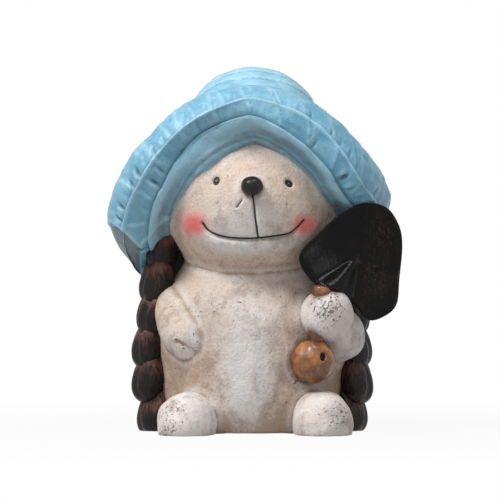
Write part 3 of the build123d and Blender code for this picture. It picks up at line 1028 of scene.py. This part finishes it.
class HEDGEHOG_OT_trowel(bpy.types.Operator):
    """Model the trowel: dished blade, shaft and ball end"""

    bl_idname = "hedgehog.trowel"
    bl_label = "Trowel"

    blade_half_thick = 2.2
    blade_set_back = 1.0
    # The dish deepens with the square of the way out, over this length
    dish_length = 95.0
    # Socket ridge: half width at its root, least and greatest half width, height and reach as shares of it
    socket_half = 4.8
    socket_limits = (0.05, 5.5)
    socket_height_share = 1.15
    socket_reach_share = 1.75
    # Scuffed ovals of the blade as pixels of the photograph, with their strength
    scuffs = (((382, 232, 17, 22), 1.0), ((372, 275, 14, 22), 0.7))
    # The shaft's points as shares of the way from the knob to the neck, and how the neck flares
    shaft_shares = (0.2, 0.5, 0.8, 1.0)
    neck_flare = 1.75
    # Hanging hole and pit of the knob as pixels of the photograph, and their depths
    hole_oval = (322, 355, 3.0, 4.4)
    hole_depth = 2.6
    pit_oval = (323.6, 369.5, 2.2, 2.2)
    pit_depth = 0.8
    knob_waves = ((0.25, 7),)

    def socket(self, column, row):
        """Height of the socket's ridge over the blade."""
        (c0, r0), (c1, r1) = SOCKET
        run = np.hypot(c1 - c0, r1 - r0)
        t = ((column - c0) * (c1 - c0) + (row - r0) * (r1 - r0)) / run**2
        aside = np.abs((column - c0) * (r1 - r0) - (row - r0) * (c1 - c0)) / run * PIXEL
        wide = np.clip(self.socket_half * (1 - t), *self.socket_limits)
        hump = (1 - np.clip(aside / (self.socket_reach_share * wide), 0, 1) ** 2) ** 2
        return self.socket_height_share * wide * hump

    def blade(self):
        """Blade pressed from a flattened ball whose rim follows the outline."""
        bm, ball = ringed_ball(128, 64)
        outline = smooth_line(BLADE_OUTLINE, 400, closed=True)
        middle = outline.mean(axis=0)
        bearing = np.arctan2(-(outline[:, 1] - middle[1]), outline[:, 0] - middle[0])
        order = np.argsort(bearing)
        reach = np.hypot(*(outline - middle).T)[order]
        turn = np.arctan2(ball[:, 1], ball[:, 0])
        share = np.hypot(ball[:, 0], ball[:, 1])
        rim = np.interp(turn, bearing[order], reach, period=2 * math.pi) * share
        column = middle[0] + rim * np.cos(turn)
        row = middle[1] - rim * np.sin(turn)
        thick = self.blade_half_thick * np.sign(ball[:, 2]) * np.clip(1 - share**5, 0, 1) ** 0.5
        x, z = (column - AXIS_COLUMN) * PIXEL, (FEET_ROW - row) * PIXEL
        plane = BLADE_ROOT[1] + BLADE_SLOPE[0] * (x - BLADE_ROOT[0]) + BLADE_SLOPE[1] * (z - BLADE_ROOT[2])
        dish = (rim * PIXEL) ** 2 / self.dish_length
        socket = self.socket(column, row) * (ball[:, 2] > -0.05)
        depth = plane - dish - thick - socket + self.blade_set_back
        move_to(bm, spot(column, row, depth).T)
        worn = np.maximum.reduce([strength * patch(column, row, oval) for oval, strength in self.scuffs])
        mark(bm, "scuff", worn * (ball[:, 2] > 0))
        relax(bm)
        piece("trowel_blade", bm, "blade_paint")

    def handle(self, sizes):
        """Round shaft through the fist."""
        radius = sizes.shaft_radius / MM
        path = [KNOB + (NECK - KNOB) * share for share in self.shaft_shares]
        bm = rounded(limb(path, (radius, radius, radius, radius * self.neck_flare)), 1)
        piece("trowel_handle", bm, "handle_paint")

    def knob(self, sizes):
        """Ball end with its hanging hole and pit."""
        radius = sizes.knob_radius / MM
        bm, ways = even_ball(6)
        places = KNOB + ways * (radius + uneven(ways * radius, self.knob_waves, 15))[:, None]
        column, row = screen(places)
        front = fade(-ways[:, 1], 0.1, 0.4)
        hole = (1 - fade(oval_share(column, row, self.hole_oval), 0.6, 1.15)) * front
        pit = patch(column, row, self.pit_oval) * front
        move_to(bm, places - ways * (self.hole_depth * hole + self.pit_depth * pit)[:, None])
        # The inside of the hanging hole is painted black as painted shade.
        mark(bm, "hole", hole * 0.95)
        piece("trowel_knob", bm, "handle_paint")

    def execute(self, context):
        self.blade()
        self.handle(context.scene.hedgehog_sizes)
        self.knob(context.scene.hedgehog_sizes)
        return {"FINISHED"}


class HEDGEHOG_OT_quills(bpy.types.Operator):
    """Model the rows of overlapping quill scales and paint the coat under them"""

    bl_idname = "hedgehog.quills"
    bl_label = "Quills"

    rows = 6
    per_row = 10
    arc = math.radians(200.0)
    # Height of the top row's middle, and the drop from row to row
    top = 76.5
    pitch = 13.6
    # The top row ends at this depth, and the second leans in under the rear brim between these heights
    top_row_back = 20.0
    tuck = 11.0
    tuck_heights = (56, 72)
    # Coat radius by height
    coat_heights = (0, 8.4, 16.7, 27, 41, 65, 75.3, 85.6, 93)
    coat_radii = (38, 42, 44.3, 45, 43.9, 41, 39.6, 35, 27)
    # One scale: half thickness, lean in degrees, least and greatest phase of its strands over half its
    # width, and their height
    thick = 7.0
    lean = 11.0
    strand_phases = (8.5, 11)
    strand_height = 1.7
    # How far a scale may differ from the next: turn in radians, lean in degrees, stand and height
    turn_play = 0.02
    lean_play = 3.0
    stand_play = 0.4
    height_play = 0.7

    def scale_shape(self, sizes, rng):
        """One scale about the origin: long axis Z, outer face +X, ridged along its length."""
        bm, ball = ringed_ball(56, 22)
        low = np.clip((1 - ball[:, 2]) / 2, 0, 1)
        half_wide = sizes.quill_width / MM / 2 * (0.86 + 0.2 * low)
        thick = self.thick * (0.75 + 0.35 * low)
        strand = ball[:, 1] * rng.uniform(*self.strand_phases)
        strand += 0.8 * np.sin(ball[:, 2] * 2.2 + rng.uniform(0, 6)) + rng.uniform(0, 6)
        ridges = (np.abs(np.cos(strand / 2)) - 0.6) * self.strand_height * fade(ball[:, 0], -0.2, 0.3)
        ridges *= 1 - np.abs(ball[:, 2]) ** 4
        full = blunting(ball[:, 2], 0.12)
        places = np.stack((ball[:, 0] * thick * full + ridges, ball[:, 1] * half_wide * full,
                           ball[:, 2] * sizes.quill_length / MM / 2), axis=1)
        return bm, places, low

    def set_on_coat(self, places, row, height, stand, turn, rng):
        """A scale's places on the coat: leant out, set off the axis and turned to its bearing."""
        lean = math.radians(self.lean + rng.uniform(-self.lean_play, self.lean_play))
        x = places[:, 0] * math.cos(lean) - places[:, 2] * math.sin(lean)
        z = places[:, 2] * math.cos(lean) + places[:, 0] * math.sin(lean) + height
        x += stand + rng.uniform(-self.stand_play, self.stand_play)
        if row == 1:
            x -= self.tuck * fade(z, *self.tuck_heights) * max(math.sin(turn), 0)
        y = places[:, 1]
        z = np.maximum(z + rng.uniform(-self.height_play, self.height_play), 0)
        across = x * math.cos(turn) - y * math.sin(turn)
        back = x * math.sin(turn) + y * math.cos(turn)
        return np.stack((across, back, z), axis=1)

    def row_piece(self, row, sizes):
        """One row of scales side by side round the back."""
        rng = np.random.default_rng(40 + row)
        height = self.top - row * self.pitch
        stand = np.interp(height, self.coat_heights, self.coat_radii) + sizes.quill_stand / MM - self.thick
        count = self.per_row + row % 2
        whole = bmesh.new()
        rubs = []
        for i in range(count):
            turn = (math.pi - self.arc) / 2 + self.arc * i / (count - 1)
            turn += rng.uniform(-self.turn_play, self.turn_play)
            if row == 0 and stand * math.sin(turn) > self.top_row_back:
                continue
            single, places, low = self.scale_shape(sizes, rng)
            move_to(single, self.set_on_coat(places, row, height, stand, turn, rng))
            mesh = bpy.data.meshes.new("scale")
            single.to_mesh(mesh)
            single.free()
            whole.from_mesh(mesh)
            bpy.data.meshes.remove(mesh)
            rubs.append(0.75 * fade(1 - low, 0.35, 0.75) + 0.3 * (low > 0.93))
        mark(whole, "rub", np.concatenate(rubs))
        piece(f"quill_row_{row + 1}", whole, "quill_paint")

    def execute(self, context):
        for row in range(self.rows):
            self.row_piece(row, context.scene.hedgehog_sizes)
        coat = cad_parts["quill_coat"]
        coat.data.materials.clear()
        coat.data.materials.append(paint_of("quill_paint"))
        return {"FINISHED"}


class HEDGEHOG_OT_lute(bpy.types.Operator):
    """Draw the clay into fillets where pieces join, and mark the joins for the wash"""

    bl_idname = "hedgehog.lute"
    bl_label = "Lute lines"

    filleted = ("belly", "head", "right_arm", "left_arm", "right_foot", "left_foot", "hat_brim")
    touched = {
        "belly": ("head", "right_arm", "left_arm", "right_foot", "left_foot", "trowel_knob", "trowel_handle"),
        "head": ("belly", "hat_brim", "trowel_blade", "nose"),
        "right_arm": ("belly",),
        "left_arm": ("belly", "trowel_handle", "trowel_blade"),
        "right_foot": ("belly",),
        "left_foot": ("belly",),
        "hat_brim": ("head", "hat_crown"),
        "hat_crown": ("hat_brim",),
        "trowel_knob": ("belly", "trowel_handle"),
        "trowel_handle": ("left_arm", "trowel_blade", "trowel_knob"),
    }
    # Height of a fillet as a share of its width
    fillet_share = 0.25

    def tree(self, name):
        """Search tree of a piece's surface."""
        mesh = bpy.data.objects[f"{name}_skin"].data
        verts = [vert.co.copy() for vert in mesh.vertices]
        return BVHTree.FromPolygons(verts, [face.vertices[:] for face in mesh.polygons])

    def gap(self, place, tree, reach):
        """Distance from a place to a surface, 0 inside it, or the reach where it is further."""
        near, normal, _, distance = tree.find_nearest(place, reach)
        if near is None:
            return reach
        return distance if (place - near).dot(normal) > 0 else 0.0

    def execute(self, context):
        reach = context.scene.hedgehog_sizes.lute
        trees = {name: self.tree(name) for pair in self.touched.items() for name in (pair[0], *pair[1])}
        for name, others in self.touched.items():
            mesh = bpy.data.objects[f"{name}_skin"].data
            crease = mesh.attributes.new("crease", "FLOAT", "POINT")
            lifts = []
            for vert in mesh.vertices:
                gaps = [self.gap(vert.co, trees[other], reach) for other in others]
                crease.data[vert.index].value = (1 - min(gaps) / reach) ** 3
                soft = [gap for gap, other in zip(gaps, others) if other in self.filleted]
                share = 1 - min(soft, default=reach) / reach
                lifts.append(vert.normal * (reach * self.fillet_share * share**2))
            if name in self.filleted:
                for vert, lift in zip(mesh.vertices, lifts):
                    place = vert.co + lift
                    vert.co = Vector((place.x, place.y, max(place.z, 0.0)))
        return {"FINISHED"}


class HEDGEHOG_OT_stage(bpy.types.Operator):
    """Set the pale floor, the soft lights and the camera"""

    bl_idname = "hedgehog.stage"
    bl_label = "Stage"

    white = (1, 1, 1, 1)
    sky_light = 0.17
    # Share of the floor's own shading that shows near the figure, and the metres over which it fades
    shadow_share = 0.07
    shadow_reach = (0.08, 0.3)
    floor_half = 4.0
    # Soft square lamps: place and side in metres, and power in watts
    lamps = {
        "key": ((-0.72, -0.5, 1.2), 0.45, 16.8),
        "fill": ((-0.15, -1.2, 0.95), 0.4, 1.4),
        "side": ((1.2, -0.6, 0.35), 0.3, 0.9),
        "top": ((0.3, -0.35, 1.3), 0.35, 4.3),
    }
    lamp_target = Vector((0, 0, 0.07))
    camera_distance = 2.5
    camera_far = 20.0

    def link(self, name, data):
        """New object of the stage."""
        obj = bpy.data.objects.new(name, data)
        bpy.context.scene.collection.objects.link(obj)
        return obj

    def lamp(self, name, place, size, power):
        """Soft square lamp that points at the figure."""
        light = bpy.data.lights.new(name, "AREA")
        light.size = size
        light.energy = power
        obj = self.link(name, light)
        obj.location = place
        obj.rotation_euler = (self.lamp_target - Vector(place)).to_track_quat("-Z", "Y").to_euler()

    def floor(self, paints):
        """Pale floor that shows as white and keeps the figure's shadow."""
        bm = bmesh.new()
        bmesh.ops.create_grid(bm, x_segments=1, y_segments=1, size=self.floor_half)
        mesh = bpy.data.meshes.new("floor")
        bm.to_mesh(mesh)
        bm.free()
        paint = Paint(bpy.data.materials.new("floor white"))
        place = paint.node("ShaderNodeTexCoord", output="Object")
        away = paint.node("ShaderNodeVectorMath", {"operation": "LENGTH"}, {0: place}, output="Value")
        shown = paint.white_rays() * (1 - self.shadow_share * away.down(*self.shadow_reach))
        matt = paint.node("ShaderNodeBsdfDiffuse", {}, {0: (*paints.floor, 1)})
        glow = paint.node("ShaderNodeEmission", {}, {0: self.white, 1: 1.0})
        shader = paint.node("ShaderNodeMixShader", {}, {0: shown, 1: matt, 2: glow})
        paint.node("ShaderNodeOutputMaterial", {}, {0: shader})
        mesh.materials.append(paint.owner)
        self.link("floor", mesh)

    def world(self):
        """Even sky light, seen as white."""
        sky = Paint(bpy.data.worlds.new("studio"))
        soft = sky.node("ShaderNodeBackground", {}, {0: self.white, 1: self.sky_light})
        seen = sky.node("ShaderNodeBackground", {}, {0: self.white, 1: 1.0})
        shader = sky.node("ShaderNodeMixShader", {}, {0: sky.white_rays(), 1: soft, 2: seen})
        sky.node("ShaderNodeOutputWorld", {}, {0: shader})
        bpy.context.scene.world = sky.owner

    def camera(self):
        """Long lens, a little above level, framed as the photograph is."""
        data = bpy.data.cameras.new("camera")
        data.lens = data.sensor_width * self.camera_distance / (PHOTO_SIDE * PIXEL * MM)
        data.clip_end = self.camera_far
        middle = PHOTO_SIDE / 2
        rise = ((FEET_ROW - middle) * PIXEL + FEET_DROP) * MM
        target = Vector(((middle - AXIS_COLUMN) * PIXEL * MM, 0, rise / math.cos(CAMERA_RISE)))
        way = Vector((0, -math.cos(CAMERA_RISE), math.sin(CAMERA_RISE)))
        obj = self.link("camera", data)
        obj.location = target + way * self.camera_distance
        obj.rotation_euler = (-way).to_track_quat("-Z", "Y").to_euler()
        bpy.context.scene.camera = obj

    def execute(self, context):
        self.floor(context.scene.hedgehog_paints)
        self.world()
        for name, values in self.lamps.items():
            self.lamp(name, *values)
        self.camera()
        context.scene.view_settings.view_transform = "Standard"
        return {"FINISHED"}


class HEDGEHOG_PT_panel(bpy.types.Panel):
    """Sidebar panel with the figure's pieces, sizes and paints"""

    bl_label = "Hedgehog"
    bl_idname = "HEDGEHOG_PT_panel"
    bl_space_type = "VIEW_3D"
    bl_region_type = "UI"
    bl_category = "Hedgehog"

    def draw(self, context):
        for operator in OPERATORS:
            self.layout.operator(operator.bl_idname)
        for group in (context.scene.hedgehog_sizes, context.scene.hedgehog_paints):
            for name in group.__annotations__:
                self.layout.prop(group, name)


OPERATORS = (
    HEDGEHOG_OT_belly, HEDGEHOG_OT_head, HEDGEHOG_OT_nose, HEDGEHOG_OT_limbs, HEDGEHOG_OT_hat,
    HEDGEHOG_OT_trowel, HEDGEHOG_OT_quills, HEDGEHOG_OT_lute, HEDGEHOG_OT_stage,
)
CLASSES = (HedgehogSizes, HedgehogPaints, *OPERATORS, HEDGEHOG_PT_panel)


def register():
    """Adds the classes and their settings to Blender."""
    for cls in CLASSES:
        bpy.utils.register_class(cls)
    bpy.types.Scene.hedgehog_sizes = bpy.props.PointerProperty(type=HedgehogSizes)
    bpy.types.Scene.hedgehog_paints = bpy.props.PointerProperty(type=HedgehogPaints)


def unregister():
    """Takes the classes and their settings out again."""
    del bpy.types.Scene.hedgehog_sizes
    del bpy.types.Scene.hedgehog_paints
    for cls in reversed(CLASSES):
        bpy.utils.unregister_class(cls)


def main():
    """Registers the add-on and makes every piece in order."""
    register()
    for operator in OPERATORS:
        group, name = operator.bl_idname.split(".")
        getattr(getattr(bpy.ops, group), name)()


if __name__ == "__main__":
    main()
